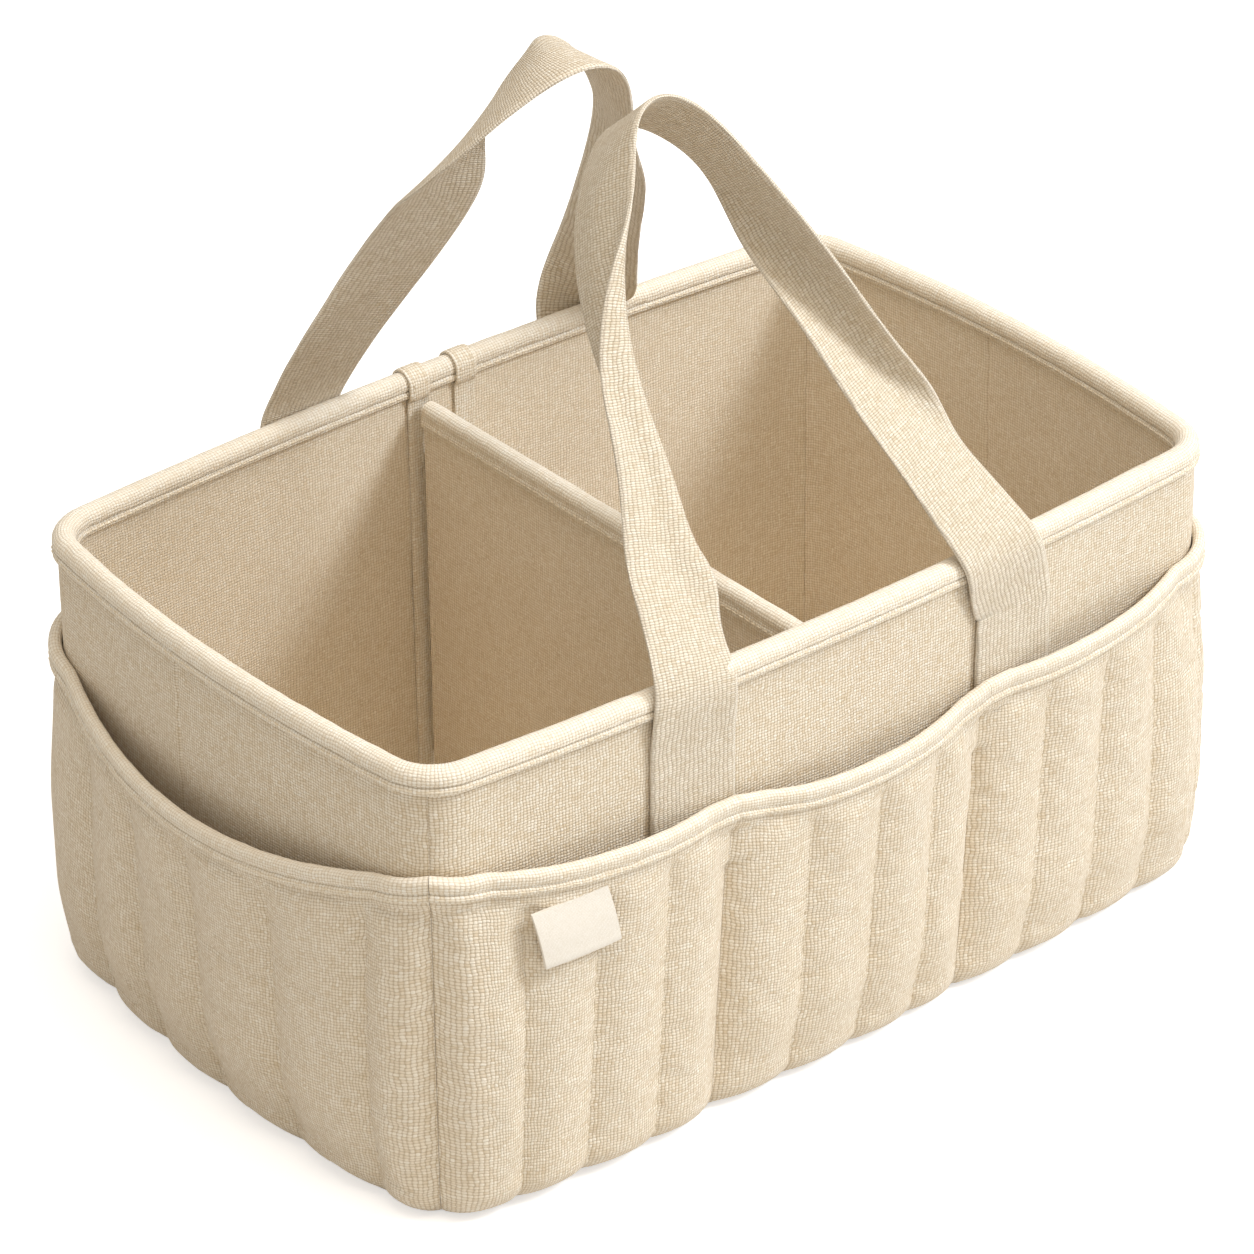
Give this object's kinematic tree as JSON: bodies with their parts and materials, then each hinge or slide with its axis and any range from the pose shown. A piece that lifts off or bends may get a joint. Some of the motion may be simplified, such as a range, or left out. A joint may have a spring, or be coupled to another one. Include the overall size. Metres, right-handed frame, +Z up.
{
  "type": "diaper caddy",
  "caption": "Open rectangular canvas caddy with bound rim, quilted outside pockets, lift-out divider and two twisted webbing carrying handles.",
  "frame": {"origin": "middle of the base, on the surface that the caddy stands on", "axes": "+Z up, +X along the long sides, -Y to the front with the blank tab"},
  "size_m": [0.3942, 0.2571, 0.3344],
  "materials": {
    "canvas": "coarse plain weave canvas, warm beige, quilted with wadding on the pockets",
    "lining": "the same beige plain weave, flat",
    "binding_tape": "folded woven tape with stitched edges",
    "webbing": "ribbed cotton webbing with pale edges",
    "tab": "smooth plain woven tape, blank",
    "board": "thin flexible stiffener board, hidden in the fabric",
    "hook_tape": "hook and loop tape"
  },
  "bodies": {
    "caddy": {"bottom_panel": "canvas", "base_board": "board", "floor_lining": "lining", "front_wall_board": "board", "right_wall_board": "board", "rear_wall_board": "board", "left_wall_board": "board", "outer_cover_front_right": "canvas", "lining_front_right": "lining", "outer_cover_rear_left": "canvas", "lining_rear_left": "lining", "rim_binding": "binding_tape", "front_left_pocket": "canvas", "front_left_pocket_binding": "binding_tape", "front_middle_pocket": "canvas", "front_middle_pocket_binding": "binding_tape", "front_right_pocket": "canvas", "front_right_pocket_binding": "binding_tape", "right_end_pocket": "canvas", "right_end_pocket_binding": "binding_tape", "rear_right_pocket": "canvas", "rear_right_pocket_binding": "binding_tape", "rear_middle_pocket": "canvas", "rear_middle_pocket_binding": "binding_tape", "rear_left_pocket": "canvas", "rear_left_pocket_binding": "binding_tape", "left_end_pocket": "canvas", "left_end_pocket_binding": "binding_tape", "front_left_handle_foot": "webbing", "front_right_handle_foot": "webbing", "rear_right_handle_foot": "webbing", "rear_left_handle_foot": "webbing", "rear_divider_strip": "binding_tape", "front_divider_strip": "binding_tape", "rear_spare_strip": "binding_tape", "front_spare_strip": "binding_tape"},
    "front_handle": {"front_handle_webbing": "webbing"},
    "rear_handle": {"rear_handle_webbing": "webbing"},
    "divider": {"divider_board": "board", "divider_right_skin": "lining", "divider_left_skin": "lining", "divider_binding": "binding_tape", "divider_front_hook_tape": "hook_tape", "divider_rear_hook_tape": "hook_tape"},
    "tab": {"label_tab": "tab"}
  },
  "joints": [
    {"name": "front_handle_swing", "type": "hinge", "parent": "caddy", "child": "front_handle", "pos_m": [0.0015, -0.11801, 0.15215], "axis": [1, 0, 0], "range_deg": [0, 150]},
    {"name": "rear_handle_swing", "type": "hinge", "parent": "caddy", "child": "rear_handle", "pos_m": [0.00815, 0.11833, 0.15215], "axis": [-1, 0, 0], "range_deg": [0, 150]},
    {"name": "divider_lift", "type": "slide", "parent": "caddy", "child": "divider", "axis": [0, 0, 1], "range_m": [0, 0.085]},
    {"name": "tab_flap", "type": "hinge", "parent": "caddy", "child": "tab", "pos_m": [-0.12793, -0.12297, 0.119], "axis": [-0.9977, 0.0677, 0], "range_deg": [0, 100]}
  ]
}
